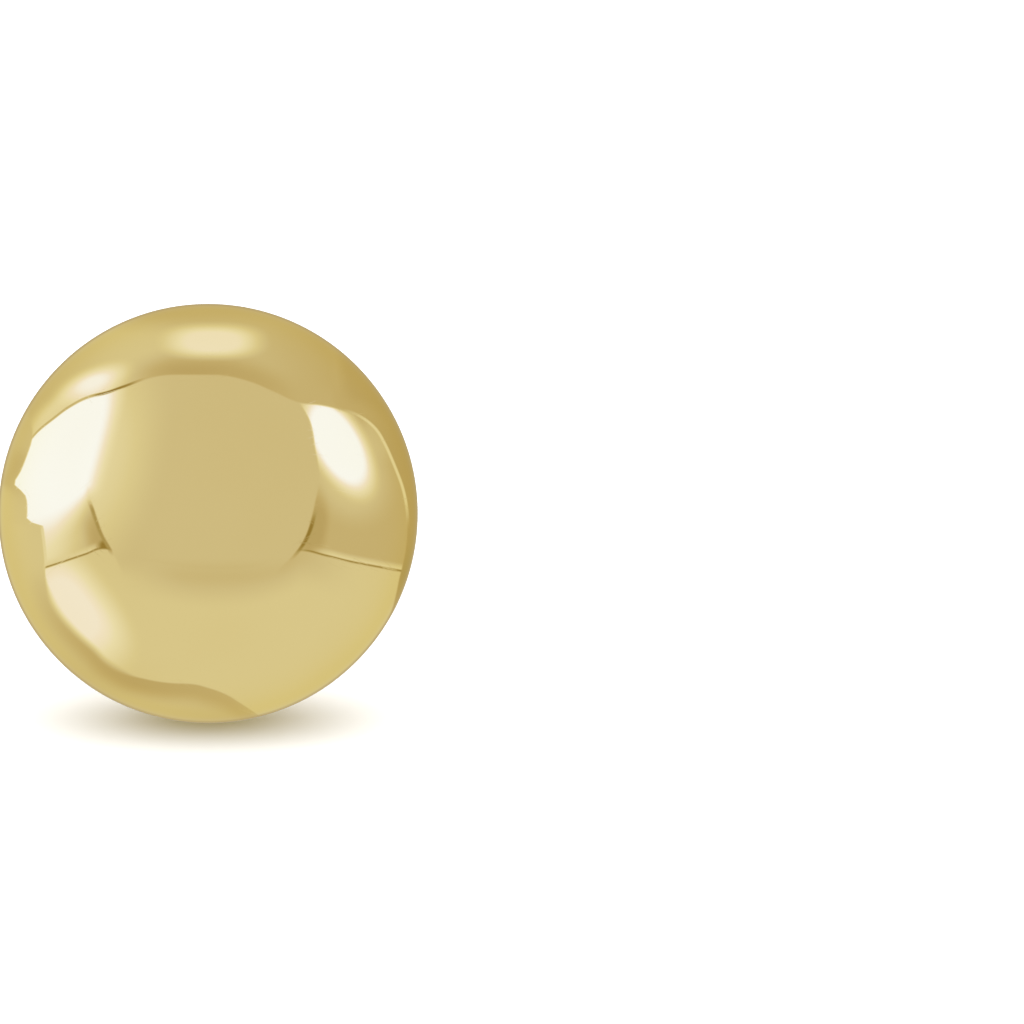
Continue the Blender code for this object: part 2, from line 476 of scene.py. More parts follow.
@dataclass(frozen=True)
class GoldFinish:
    """A gold surface: its tones, its polish and the marks that its making left."""

    name: str
    tone: Colour = (0.98, 0.785, 0.343)
    deep_tone: Colour = (0.965, 0.765, 0.325)
    edge_tone: Colour = (0.97, 0.88, 0.56)
    clear: float = 0.012
    dull: float = 0.03
    patch_size: float = 1.6 * MM
    scratch_share: float = 0.2
    scratch_depth: float = 0.00012 * MM
    scratch_length: float = 2.5 * MM
    scratch_width: float = 0.016 * MM
    grain_depth: float = 0.0
    grain_width: float = 0.03 * MM
    grain_length: float = 3.0 * MM
    coordinates: Coordinates = Coordinates.OBJECT

    def build(self, effects: SharedEffects, axis: StudAxis) -> bpy.types.Material:
        """Makes the material.

        Args:
            effects: The shared node groups.
            axis: The post's line, which the drawn grain follows.

        Returns:
            The material.
        """
        material = bpy.data.materials.new(self.name)
        material.use_nodes = True
        graph = Graph(material.node_tree)
        shader = material.node_tree.nodes["Principled BSDF"]
        shader.inputs["Metallic"].default_value = 1.0
        shader.inputs["Specular Tint"].default_value = (*self.edge_tone, 1.0)
        place = self._place(graph, axis)
        tone = graph.group(effects.tone, Place=place, Patch_Size=2 * self.patch_size)
        graph.feed(
            shader.inputs["Base Color"],
            graph.blend_colour((*self.tone, 1.0), (*self.deep_tone, 1.0), tone.outputs[0]),
        )
        haze = graph.group(
            effects.haze,
            Place=place,
            Patch_Size=self.patch_size,
            Clear=self.clear,
            Dull=self.dull,
        )
        scratches = graph.group(
            effects.scratches,
            Place=place,
            Length=self.scratch_length,
            Width=self.scratch_width,
            Share=self.scratch_share,
        )
        marked = graph.maths("MULTIPLY_ADD", scratches.outputs[0], self.dull, haze.outputs[0])
        graph.feed(shader.inputs["Roughness"], marked)
        height = graph.maths("MULTIPLY", scratches.outputs[0], -self.scratch_depth)
        if self.grain_depth:
            grain = graph.maths("MULTIPLY", self._grain(graph, place), self.grain_depth)
            height = graph.maths("ADD", height, grain)
        bump = graph.node("Bump")
        bump.inputs["Distance"].default_value = 1.0
        graph.feed(bump.inputs["Height"], height)
        graph.feed(shader.inputs["Normal"], bump.outputs[0])
        return material

    def _place(self, graph: Graph, axis: StudAxis) -> Socket:
        """The pattern's place: along the post's own line, or along the sheet.

        Args:
            graph: The material's graph.
            axis: The post's line.

        Returns:
            The place, as a vector.
        """
        coordinates = graph.node("TexCoord").outputs[self.coordinates.value]
        if self.coordinates is Coordinates.ALONG_THE_SHEET:
            return coordinates
        centred = graph.node("Mapping", vector_type="TEXTURE")
        graph.feed(centred.inputs["Vector"], coordinates)
        centred.inputs["Location"].default_value = axis.centre
        centred.inputs["Rotation"].default_value = (-axis.slope, 0.0, 0.0)
        return centred.outputs[0]

    def _grain(self, graph: Graph, place: Socket) -> Socket:
        """Fine lines that run the way the metal was drawn or rolled.

        Args:
            graph: The material's graph.
            place: The pattern's place.

        Returns:
            The lines' height, from 0 to 1.
        """
        lines = graph.node("TexNoise", noise_dimensions="3D")
        long_way = 1 / self.grain_length
        short_way = 1 / self.grain_width
        stretch = (short_way, long_way, short_way)
        if self.coordinates is Coordinates.ALONG_THE_SHEET:
            stretch = (long_way, short_way, short_way)
        lines.inputs["Scale"].default_value = 1.0
        lines.inputs["Detail"].default_value = 3.0
        graph.feed(lines.inputs["Vector"], graph.vector("MULTIPLY", place, stretch))
        return lines.outputs[0]


class Outline:
    """An outline in the plane of (out from the axis, along the axis), drawn from one vertex."""

    def __init__(self, start: tuple[float, float]) -> None:
        """Puts down the first vertex.

        Args:
            start: Its distance from the axis, and its place along the axis.
        """
        self.mesh = bmesh.new()
        vertex = bmesh.ops.create_vert(self.mesh, co=(*start, 0.0))["vert"][0]
        self.end: bmesh.types.BMVert = vertex

    def arc(self, centre: tuple[float, float], angle: float, steps: int) -> Outline:
        """Carries the outline on round a centre.

        Args:
            centre: The arc's centre.
            angle: How far it goes, positive from out towards along.
            steps: How many edges it has.

        Returns:
            This outline.
        """
        made = bmesh.ops.spin(
            self.mesh,
            geom=[self.end],
            cent=(*centre, 0.0),
            axis=(0.0, 0.0, 1.0),
            angle=angle,
            steps=steps,
            use_merge=False,
            use_duplicate=False,
        )
        self.end = next(part for part in made["geom_last"] if isinstance(part, bmesh.types.BMVert))
        return self

    def line_to(self, out: float, along: float, steps: int = 1) -> Outline:
        """Carries the outline on in a straight line.

        Args:
            out: Where it ends, from the axis.
            along: Where it ends, along the axis.
            steps: How many edges it has.

        Returns:
            This outline.
        """
        step = (Vector((out, along, 0.0)) - self.end.co) / steps
        for _ in range(steps):
            made = bmesh.ops.extrude_vert_indiv(self.mesh, verts=[self.end])
            self.end = made["verts"][0]
            bmesh.ops.translate(self.mesh, verts=[self.end], vec=step)
        return self

    def turn(self, sides: int) -> bmesh.types.BMesh:
        """Turns the outline right round the axis.

        Args:
            sides: How many sides the solid has.

        Returns:
            The closed mesh, its faces pointing out.
        """
        bmesh.ops.spin(
            self.mesh,
            geom=[*self.mesh.verts, *self.mesh.edges],
            cent=(0.0, 0.0, 0.0),
            axis=(0.0, 1.0, 0.0),
            angle=TURN,
            steps=sides,
            use_merge=True,
            use_duplicate=False,
        )
        bmesh.ops.remove_doubles(self.mesh, verts=self.mesh.verts, dist=MERGE_DISTANCE)
        bmesh.ops.recalc_face_normals(self.mesh, faces=self.mesh.faces)
        return self.mesh


def as_object(mesh: bmesh.types.BMesh, name: str, place: Matrix) -> bpy.types.Object:
    """Makes an object at the origin from a mesh that is moved into place.

    Args:
        mesh: The modelled mesh, which is used up.
        name: The object's name.
        place: Where the mesh goes.

    Returns:
        The object, linked to the scene.
    """
    bmesh.ops.transform(mesh, matrix=place, verts=mesh.verts)
    data = bpy.data.meshes.new(name)
    mesh.to_mesh(data)
    mesh.free()
    made = bpy.data.objects.new(name, data)
    bpy.context.scene.collection.objects.link(made)
    return made


def settle_modifiers(piece: bpy.types.Object) -> None:
    """Makes the evaluated mesh the piece's own, and takes its modifiers off.

    Args:
        piece: The piece to settle.
    """
    graph = bpy.context.evaluated_depsgraph_get()
    data = bpy.data.meshes.new_from_object(
        piece.evaluated_get(graph), preserve_all_data_layers=True, depsgraph=graph
    )
    piece.modifiers.clear()
    piece.data = data


def cut_out(piece: bpy.types.Object, tool: bpy.types.Object) -> None:
    """Cuts a tool out of a piece for good, and removes the tool.

    Args:
        piece: The piece to cut.
        tool: The closed shape to take away.
    """
    cut = piece.modifiers.new("cut", "BOOLEAN")
    cut.operation = "DIFFERENCE"
    cut.solver = "EXACT"
    cut.object = tool
    settle_modifiers(piece)
    bpy.data.objects.remove(tool, do_unlink=True)


@dataclass(frozen=True)
class BallAndPost:
    """The hollow ball with its post soldered on, about the local Y axis."""

    ball_radius: float = 4.0 * MM
    wall: float = 0.25 * MM
    ripple_height: float = 0.0016 * MM
    ripple_length: float = 1.7 * MM
    vent_radius: float = 0.3 * MM
    vent_flare: float = 0.06 * MM
    vent_angle: float = math.radians(42)
    post_radius: float = 0.42 * MM
    post_length: float = 10.5 * MM
    solder_radius: float = 0.35 * MM
    notch_from_tip: float = 2.4 * MM
    notch_width: float = 0.7 * MM
    notch_depth: float = 0.09 * MM
    tip_radius: float = 0.22 * MM
    sides: int = 256
    rings: int = 160
    solder_steps: int = 14
    wire_steps: int = 24
    notch_steps: int = 14
    neck_steps: int = 6
    tip_steps: int = 10
    end_steps: int = 3
    cavity_sides: int = 64
    cavity_rings: int = 36
    sharp_angle: float = math.radians(35)

    @property
    def tip_at(self) -> float:
        """Where the post ends, from the ball's centre."""
        return self.ball_radius + self.post_length

    @property
    def solder_slope(self) -> float:
        """The angle from the post at which the solder meets the ball."""
        reach = self.ball_radius + self.solder_radius
        return math.asin((self.post_radius + self.solder_radius) / reach)

    def build(self, axis: StudAxis, finishes: dict[Zone, bpy.types.Material]) -> bpy.types.Object:
        """Models and dresses the piece.

        Args:
            axis: Where the stud lies.
            finishes: The material of each zone.

        Returns:
            The piece, riding on the root body.
        """
        mesh = self._outer()
        self._ripple(mesh)
        for face in mesh.faces:
            face.material_index = self._zone(face.calc_center_median()).value
            face.smooth = True
        piece = as_object(mesh, "polished_ball_and_post", axis.matrix())
        cut_out(piece, self._cavity(axis))
        for zone in Zone:
            piece.data.materials.append(finishes[zone])
        piece.data.set_sharp_from_angle(angle=self.sharp_angle)
        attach(piece, "root")
        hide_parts("ball_and_post")
        return piece

    def _outer(self) -> bmesh.types.BMesh:
        """The outside: ball, solder, wire, notch and rounded tip, turned from one outline.

        Returns:
            The closed mesh.
        """
        slope = self.solder_slope
        reach = self.ball_radius + self.solder_radius
        notch_at = self.tip_at - self.notch_from_tip
        half_notch = self.notch_width / 2
        notch_radius = (half_notch**2 + self.notch_depth**2) / (2 * self.notch_depth)
        notch_turn = 2 * math.asin(half_notch / notch_radius)
        notch_centre = (self.post_radius - self.notch_depth + notch_radius, notch_at)
        tip_centre = (self.post_radius - self.tip_radius, self.tip_at - self.tip_radius)
        outline = Outline((0.0, -self.ball_radius))
        outline.arc((0.0, 0.0), math.pi - slope, self.rings)
        solder_centre = (reach * math.sin(slope), reach * math.cos(slope))
        outline.arc(solder_centre, slope - QUARTER, self.solder_steps)
        outline.line_to(self.post_radius, notch_at - half_notch, self.wire_steps)
        outline.arc(notch_centre, -notch_turn, self.notch_steps)
        outline.line_to(self.post_radius, tip_centre[1], self.neck_steps)
        outline.arc(tip_centre, QUARTER, self.tip_steps)
        outline.line_to(0.0, self.tip_at, self.end_steps)
        return outline.turn(self.sides)

    def _ripple(self, mesh: bmesh.types.BMesh) -> None:
        """Leaves the faint unevenness that hand polishing does, which wavers the reflections.

        Args:
            mesh: The outside, about the local Y axis.
        """
        mesh.normal_update()
        solder_at = self.ball_radius * math.cos(self.solder_slope)
        for vertex in mesh.verts:
            if vertex.co.y > solder_at:
                continue
            fade = min(1.0, (solder_at - vertex.co.y) / self.solder_radius)
            height = noise.noise(vertex.co / self.ripple_length) * self.ripple_height * fade
            vertex.co += vertex.normal * height

    def _zone(self, point: Vector) -> Zone:
        """Which stretch of the piece a point is on.

        Args:
            point: A place about the local Y axis.

        Returns:
            The stretch.
        """
        if point.y < self.ball_radius * math.cos(self.solder_slope):
            return Zone.BALL
        solder_end = (self.ball_radius + self.solder_radius) * math.cos(self.solder_slope)
        return Zone.SOLDER if point.y < solder_end else Zone.POST

    def _cavity(self, axis: StudAxis) -> bpy.types.Object:
        """The hollow inside the ball, with the vent's flared hole.

        Args:
            axis: Where the stud lies.

        Returns:
            The closed shape to cut out.
        """
        inner = self.ball_radius - self.wall
        neck = math.asin(self.vent_radius / inner)
        flare_from = self.ball_radius - self.vent_flare
        flare_to = self.ball_radius + self.vent_flare
        outline = Outline((0.0, -inner))
        outline.arc((0.0, 0.0), math.pi - neck, self.cavity_rings)
        outline.line_to(self.vent_radius, flare_from)
        outline.line_to(self.vent_radius + 2 * self.vent_flare, flare_to)
        outline.line_to(0.0, flare_to)
        mesh = outline.turn(self.cavity_sides)
        for face in mesh.faces:
            face.smooth = True
        lean = Matrix.Rotation(-self.vent_angle, 4, "X")
        return as_object(mesh, "cavity_tool", axis.matrix() @ lean)


@dataclass(frozen=True)
class FrictionBack:
    """The butterfly back: one sheet, a plate pierced for the post and two ears rolled up behind it."""

    sheet: float = 0.25 * MM
    plate_height: float = 4.3 * MM
    plate_width: float = 4.0 * MM
    ear_height: float = 2.7 * MM
    scroll_radius: float = 1.15 * MM
    scroll_space: float = 0.15 * MM
    scroll_end: float = math.radians(110)
    post_clearance: float = 0.06 * MM
    grip_clearance: float = 0.05 * MM
    dimple_radius: float = 0.95 * MM
    dimple_depth: float = 0.09 * MM
    edge_rounding: float = 0.04 * MM
    edge_segments: int = 3
    edge_angle: float = math.radians(50)
    ear_rows: int = 11
    plate_steps: int = 20
    corner_steps: int = 6
    scroll_steps: int = 44
    hole_columns: int = 8
    hole_rows: int = 4
    hole_rings: float = 2.4

    @property
    def pitch(self) -> float:
        """How much tighter each half turn of an ear is than the one before."""
        return (self.sheet + self.scroll_space) / 2

    @property
    def corner(self) -> float:
        """The rounding of the plate's corners."""
        return (self.plate_height - self.ear_height) / 2

    @property
    def straight(self) -> float:
        """How far the plate's straight edge goes from its middle."""
        return self.plate_width / 2 - self.corner

    def scroll_centre(self, post_radius: float) -> float:
        """How far out the ears' scrolls are centred, so that they just clear the post."""
        second = self.scroll_radius - self.pitch
        return post_radius + self.grip_clearance + self.sheet / 2 + second

    def build(
        self, axis: StudAxis, post: BallAndPost, finish: bpy.types.Material
    ) -> bpy.types.Object:
        """Models and dresses the piece.

        Args:
            axis: Where the stud lies.
            post: The ball and post that the back is pushed onto.
            finish: The piece's material.

        Returns:
            The piece, riding on the root body.
        """
        notch_at = post.tip_at - post.notch_from_tip
        plate_at = notch_at - self.scroll_radius - self.pitch
        place = axis.matrix() @ Matrix.Translation((0.0, plate_at, 0.0))
        sheet = self._sheet(self.scroll_centre(post.post_radius), post.post_radius + self.post_clearance)
        piece = as_object(sheet, "friction_back_gold", place)
        solid = piece.modifiers.new("sheet", "SOLIDIFY")
        solid.thickness = self.sheet
        solid.offset = 0.0
        rounding = piece.modifiers.new("edges", "BEVEL")
        rounding.width = self.edge_rounding
        rounding.segments = self.edge_segments
        rounding.use_clamp_overlap = False
        rounding.limit_method = "ANGLE"
        rounding.angle_limit = self.edge_angle
        settle_modifiers(piece)
        piece.data.shade_smooth()
        piece.data.materials.append(finish)
        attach(piece, "root")
        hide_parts("friction_back")
        return piece

    def _sheet(self, scroll_centre: float, hole_radius: float) -> bmesh.types.BMesh:
        """The middle of the sheet: a flat grid, pierced, cut to the plate's outline and rolled up.

        Args:
            scroll_centre: How far out the ears' scrolls are centred.
            hole_radius: The radius of the post's hole.

        Returns:
            The open mesh, about the plate's middle.
        """
        stations = self._stations(scroll_centre)
        heights = self._heights()
        size = Vector((len(stations) - 1, len(heights) - 1, 0))
        mesh = bmesh.new()
        bmesh.ops.create_grid(
            mesh, x_segments=2 * int(size.x), y_segments=2 * int(size.y), size=1.0, calc_uvs=True
        )
        waste = [face for face in mesh.faces if self._is_waste(face.calc_center_median() * size)]
        bmesh.ops.delete(mesh, geom=waste, context="FACES")
        for vertex in mesh.verts:
            column = round(abs(vertex.co.x) * size.x)
            row = round(abs(vertex.co.y) * size.y)
            flat = Vector((stations[column], heights[row]))
            distance, up = self._shaped(flat, column, row, hole_radius)
            vertex.co = (math.copysign(distance, vertex.co.x), math.copysign(up, vertex.co.y), 0.0)
        along_sheet = mesh.loops.layers.uv.verify()
        for face in mesh.faces:
            for loop in face.loops:
                loop[along_sheet].uv = loop.vert.co.xy
        for vertex in mesh.verts:
            distance, up = vertex.co.xy
            across, behind = self._rolled(abs(distance), scroll_centre)
            behind += self._dimple(math.hypot(distance, up))
            vertex.co = Vector((math.copysign(across, distance), behind, up))
        bmesh.ops.recalc_face_normals(mesh, faces=mesh.faces)
        return mesh

    def _is_waste(self, place: Vector) -> bool:
        """Whether a cell falls in the hole, or beside the plate above an ear.

        Args:
            place: The cell's middle, in columns and rows from the plate's middle.

        Returns:
            Whether it is to go.
        """
        column = abs(place.x)
        row = abs(place.y)
        in_hole = column < self.hole_columns and row < self.hole_rows
        return in_hole or (column > self.plate_steps + self.corner_steps and row > self.ear_rows)

    def _shaped(self, flat: Vector, column: int, row: int, hole_radius: float) -> Vector:
        """Rounds the grid's rings near the hole, and its square blocks at the plate's corners.

        Args:
            flat: The vertex's place on the even grid.
            column: Its column, from the middle.
            row: Its row, from the middle.
            hole_radius: The radius of the post's hole.

        Returns:
            Its place on the flat sheet.
        """
        ring = Vector((column / self.hole_columns, row / self.hole_rows))
        share = (max(ring) - 1) / (self.hole_rings - 1)
        if share < 1:
            return (self._rounded(ring) * hole_radius).lerp(flat, max(0.0, share))
        block = Vector((column - self.plate_steps, row - self.ear_rows)) / self.corner_steps
        if min(block) < 0 or max(block) > 1:
            return flat
        return Vector((self.straight, self.ear_height / 2)) + self._rounded(block) * self.corner

    @staticmethod
    def _rounded(ring: Vector) -> Vector:
        """Moves a place on a square ring to the circle that the ring becomes.

        Args:
            ring: The place, as shares of the ring's size.

        Returns:
            The place on the circle.
        """
        out = max(ring)
        if out == 0:
            return ring
        turn = math.pi / 4 * min(ring) / out
        way = (math.cos(turn), math.sin(turn))
        return Vector(way if ring.x >= ring.y else way[::-1]) * out

    def _stations(self, scroll_centre: float) -> list[float]:
        """Each column's distance along the sheet, from the plate's middle to an ear's tucked end.

        Args:
            scroll_centre: How far out the ears' scrolls are centred.

        Returns:
            The distances, from 0 up.
        """
        edge = [self.straight * step / self.plate_steps for step in range(self.plate_steps)]
        shoulder = [
            self.straight + self.corner * step / self.corner_steps for step in range(self.corner_steps + 1)
        ]
        second = self.scroll_radius - self.pitch
        third = second - self.pitch
        ear = math.pi * (self.scroll_radius + second) + self.scroll_end * third
        steps = round(self.scroll_steps * (2 + self.scroll_end / math.pi))
        step_length = (scroll_centre + ear - shoulder[-1]) / steps
        return edge + shoulder + [shoulder[-1] + step_length * step for step in range(1, steps + 1)]

    def _heights(self) -> list[float]:
        """Each row's height, from the middle to the plate's upper edge.

        Returns:
            The heights, from 0 up.
        """
        ear = [self.ear_height / 2 * step / self.ear_rows for step in range(self.ear_rows)]
        return ear + [
            self.ear_height / 2 + self.corner * step / self.corner_steps
            for step in range(self.corner_steps + 1)
        ]

    def _rolled(self, distance: float, scroll_centre: float) -> tuple[float, float]:
        """Where a distance along the sheet ends up once the ears are rolled.

        Args:
            distance: The distance from the plate's middle.
            scroll_centre: How far out the ears' scrolls are centred.

        Returns:
            How far across it is, and how far behind the plate.
        """
        if distance <= scroll_centre:
            return distance, 0.0
        left = distance - scroll_centre
        behind = 0.0
        radius = self.scroll_radius
        side = 1
        while left > math.pi * radius:
            left -= math.pi * radius
            behind += 2 * side * radius
            radius -= self.pitch
            side = -side
        turn = left / radius
        across = scroll_centre + side * radius * math.sin(turn)
        return across, behind + side * radius * (1 - math.cos(turn))

    def _dimple(self, distance: float) -> float:
        """How deep the funnel that guides the post is, at a distance from the hole's middle."""
        share = max(0.0, 1 - distance / self.dimple_radius)
        return self.dimple_depth * share * share * (3 - 2 * share)


@dataclass(frozen=True)
class Patch:
    """A soft patch of light or shade in the tent.

    Places and sizes in the tent are those on a mirror ball seen from the tent's open front, as
    shares of its radius: 0 is that front, 0.71 square to the side or overhead, 1 straight behind.
    A level is how bright a thing looks in polished gold, from 0 to 1.
    """

    name: str
    centre: tuple[float, float]
    half: tuple[float, float]
    level: float
    turn: float = 0.0
    softness: float = 0.3
    squareness: float = 2.0


@dataclass(frozen=True)
class TentView:
    """Where each direction shows on a mirror ball seen from the tent's open front."""

    graph: Graph
    effects: SharedEffects
    place: Socket
    across: Socket
    up: Socket
    ahead: Socket

    @classmethod
    def towards(cls, camera_way: Vector, graph: Graph, effects: SharedEffects) -> TentView:
        """Works out the places.

        Args:
            camera_way: The direction from the stud to the tent's open front.
            graph: The world's graph.
            effects: The shared node groups.

        Returns:
            The view, with how far towards the front each direction points.
        """
        side = Vector((0.0, 0.0, 1.0)).cross(camera_way).normalized()
        direction = graph.node("TexCoord").outputs["Generated"]
        ahead = graph.vector("DOT_PRODUCT", direction, tuple(camera_way))
        halfway = graph.vector("NORMALIZE", graph.vector("ADD", direction, tuple(camera_way)))
        across = graph.vector("DOT_PRODUCT", halfway, tuple(side))
        up = graph.vector("DOT_PRODUCT", halfway, tuple(camera_way.cross(side)))
        place = graph.node("CombineXYZ")
        graph.feed(place.inputs[0], across)
        graph.feed(place.inputs[1], up)
        return cls(graph, effects, place.outputs[0], across, up, ahead)

    def above(self, line: Line) -> Socket:
        """How far up a place is from a line."""
        return self.graph.maths("SUBTRACT", self.up, self.graph.line(self.across, line))

    def lay(self, level: Value, patches: Sequence[Patch]) -> Value:
        """Lays patches over what is there.

        Args:
            level: What the patches lie on.
            patches: The patches, the lowest first.

        Returns:
            The level with the patches.
        """
        for patch in patches:
            mask = self.graph.group(
                self.effects.patch,
                Place=self.place,
                Centre=(*patch.centre, 0.0),
                Half_Size=(*patch.half, 1.0),
                Turn=patch.turn,
                Squareness=patch.squareness,
                Softness=patch.softness,
            )
            mask.label = patch.name
            level = self.graph.blend(level, patch.level, mask.outputs[0])
        return level


@dataclass(frozen=True)
class LightTent:
    """The tent round the stud: cloth walls, two lamps, a loose roof and the sweep of the table.

    A Span says where a soft step starts and ends. A SoftSpan is a stretch, with how soft its ends are.
    """

    wall_level: float = 0.575
    front_level: float = 0.634
    front_foot: Span = (-0.32, -0.2)
    table_level: float = 0.704
    table_shade_level: float = 0.598
    table_shade_depth: Span = (-0.2, -0.02)
    table_shade_span: SoftSpan = (-0.3, 0.55, 0.2)
    behind_level: float = 0.5
    behind_step: Span = (-0.93, -0.99)
    fold_level: float = 0.76
    fold_height: Span = (0.045, 0.01)
    left_fold: Span = (-0.5, -0.56)
    right_fold: Span = (0.46, 0.6)
    foot_seam_level: float = 0.3
    foot_seam_width: float = 0.012
    foot_seam_span: Span = (0.4, 0.5)
    corner_shift: float = 0.008
    left_corner_level: float = 0.42
    left_corner_width: float = 0.016
    left_corner_span: SoftSpan = (-0.18, 0.04, 0.03)
    right_corner_level: float = 0.3
    right_corner_width: float = 0.018
    right_corner_span: SoftSpan = (-0.18, -0.02, 0.05)
    lamp_foot_blur: float = 0.09
    lamp_end: Span = (0.04, 0.14)
    roof_depth: Span = (0.02, 0.14)
    roof_seam_level: float = 0.26
    roof_seam_width: float = 0.01
    rim_depth: Span = (0.03, 0.12)
    rim_crisp: float = 0.006
    rim_soft: float = 0.03
    rim_lead: float = -0.7
    soft_rim_span: SoftSpan = (-0.36, -0.15, 0.03)
    roof_rim_middle: float = 0.02
    roof_rim_step: Span = (0.655, 0.68)
    edge_level: float = 0.78
    edge_width: float = 0.011
    edge_shift: float = 0.004
    left_edge_span: SoftSpan = (-0.475, -0.4, 0.01)
    right_edge_span: SoftSpan = (0.5, 0.69, 0.03)
    glare: float = 3.0
    tints: tuple[tuple[float, Colour], ...] = (
        (0.0, (0.0, 0.0, 0.0)),
        (0.31, (0.31, 0.245, 0.095)),
        (0.4, (0.40, 0.345, 0.2)),
        (0.46, (0.46, 0.425, 0.31)),
        (0.51, (0.51, 0.46, 0.36)),
        (0.563, (0.563, 0.526, 0.446)),
        (0.636, (0.636, 0.633, 0.63)),
        (0.722, (0.722, 0.744, 0.752)),
        (0.84, (0.84, 0.91, 1.157)),
        (0.9, (0.9, 0.97, 1.55)),
        (0.96, (0.97, 1.18, 2.42)),
        (1.0, (1.05, 1.4, 3.0)),
    )
    roof_line: Line = (
        (-1.0, -0.2), (-0.93, 0.1), (-0.895, 0.25), (-0.834, 0.36), (-0.72, 0.46), (-0.65, 0.51),
        (-0.57, 0.55), (-0.48, 0.572), (-0.4, 0.6), (-0.29, 0.637), (-0.15, 0.656), (0.05, 0.655),
        (0.2, 0.622), (0.3, 0.58), (0.432, 0.524), (0.531, 0.513), (0.619, 0.493), (0.692, 0.469),
        (0.772, 0.429), (0.83, 0.37), (0.9, 0.2), (0.95, 0.0), (1.0, -0.3),
    )
    roof_seam: Line = (
        (-1.0, 0.0), (-0.86, 0.2), (-0.8, 0.45), (-0.56, 0.5), (-0.49, 0.95), (-0.4, 0.85),
        (-0.33, 0.3), (-0.24, 0.0), (1.0, 0.0),
    )
    roof_near: Line = (
        (-1.0, 0.6), (-0.86, 0.7), (-0.74, 0.84), (-0.62, 0.9), (-0.5, 0.86), (-0.42, 0.74),
        (-0.34, 0.63), (-0.22, 0.54), (-0.1, 0.515), (0.1, 0.53), (0.3, 0.55), (0.45, 0.58),
        (0.7, 0.575), (1.0, 0.53),
    )
    roof_far: Line = (
        (-1.0, 0.6), (-0.7, 0.64), (-0.5, 0.68), (-0.3, 0.69), (-0.1, 0.66), (0.1, 0.64), (0.3, 0.605),
        (0.5, 0.575), (0.7, 0.55), (1.0, 0.53),
    )
    table_line: Line = (
        (-1.0, -0.33), (-0.777, -0.261), (-0.678, -0.229), (-0.583, -0.197), (-0.496, -0.168),
        (-0.456, -0.174), (-0.35, -0.21), (-0.2, -0.24), (0.0, -0.262), (0.15, -0.26), (0.28, -0.235),
        (0.403, -0.188), (0.43, -0.176), (0.56, -0.203), (0.663, -0.229), (0.772, -0.251),
        (0.911, -0.276), (1.0, -0.29),
    )
    front_left: Line = (
        (-1.0, -0.2), (-0.3, -0.4), (-0.173, -0.456), (-0.102, -0.495), (-0.039, -0.519),
        (0.024, -0.54), (0.073, -0.559), (0.2, -0.59), (0.4, -0.6), (1.0, -0.4),
    )
    front_right: Line = (
        (-1.0, 0.2), (-0.3, 0.31), (-0.192, 0.403), (-0.141, 0.44), (-0.09, 0.465), (-0.031, 0.484),
        (0.042, 0.502), (0.115, 0.517), (0.173, 0.523), (0.246, 0.516), (0.319, 0.502), (0.392, 0.491),
        (0.451, 0.473), (0.52, 0.432), (0.7, 0.3), (1.0, 0.2),
    )
    rim_line: Line = (
        (-1.0, 1.0), (-0.68, 1.0), (-0.65, 0.94), (-0.63, 0.91), (-0.61, 0.902), (-0.57, 0.912),
        (-0.55, 0.93), (-0.537, 0.885), (-0.525, 0.863), (-0.5, 0.857), (-0.488, 0.86), (-0.48, 0.788),
        (-0.46, 0.784), (-0.43, 0.788), (-0.405, 0.8), (-0.395, 0.815), (-0.36, 0.835), (-0.32, 0.845),
        (-0.27, 0.838), (-0.23, 0.833), (-0.19, 0.846), (-0.15, 0.848), (-0.11, 0.836), (-0.07, 0.822),
        (-0.03, 0.811), (0.0, 0.826), (0.028, 0.857), (0.05, 0.904), (0.065, 0.945), (0.09, 1.0),
        (0.3, 1.0), (0.34, 0.99), (0.37, 0.972), (0.4, 0.957), (0.43, 0.955), (0.466, 0.95),
        (0.5, 0.942), (0.535, 0.93), (0.583, 0.907), (0.62, 0.896), (0.643, 0.889), (0.66, 0.876),
        (0.68, 0.852), (0.7, 0.82), (0.72, 0.79), (0.75, 0.83), (0.8, 0.95), (0.85, 1.0), (1.0, 1.0),
    )
    rim_near: Line = (
        (-1.0, 0.6), (-0.66, 0.65), (-0.62, 0.65), (-0.58, 0.6), (-0.55, 0.62), (-0.51, 0.68),
        (-0.42, 0.69), (-0.36, 0.64), (-0.28, 0.58), (-0.22, 0.55), (-0.15, 0.53), (-0.05, 0.54),
        (0.03, 0.56), (0.08, 0.6), (0.3, 0.56), (0.37, 0.5), (0.41, 0.47), (0.46, 0.5), (0.5, 0.51),
        (0.62, 0.52), (0.7, 0.555), (0.8, 0.57), (1.0, 0.56),
    )
    rim_far: Line = (
        (-1.0, 0.56), (-0.6, 0.67), (-0.55, 0.71), (-0.45, 0.7), (-0.35, 0.69), (-0.27, 0.665),
        (-0.2, 0.64), (-0.1, 0.66), (0.0, 0.64), (0.1, 0.6), (0.4, 0.47), (0.5, 0.48), (0.62, 0.5),
        (0.75, 0.53), (1.0, 0.56),
    )
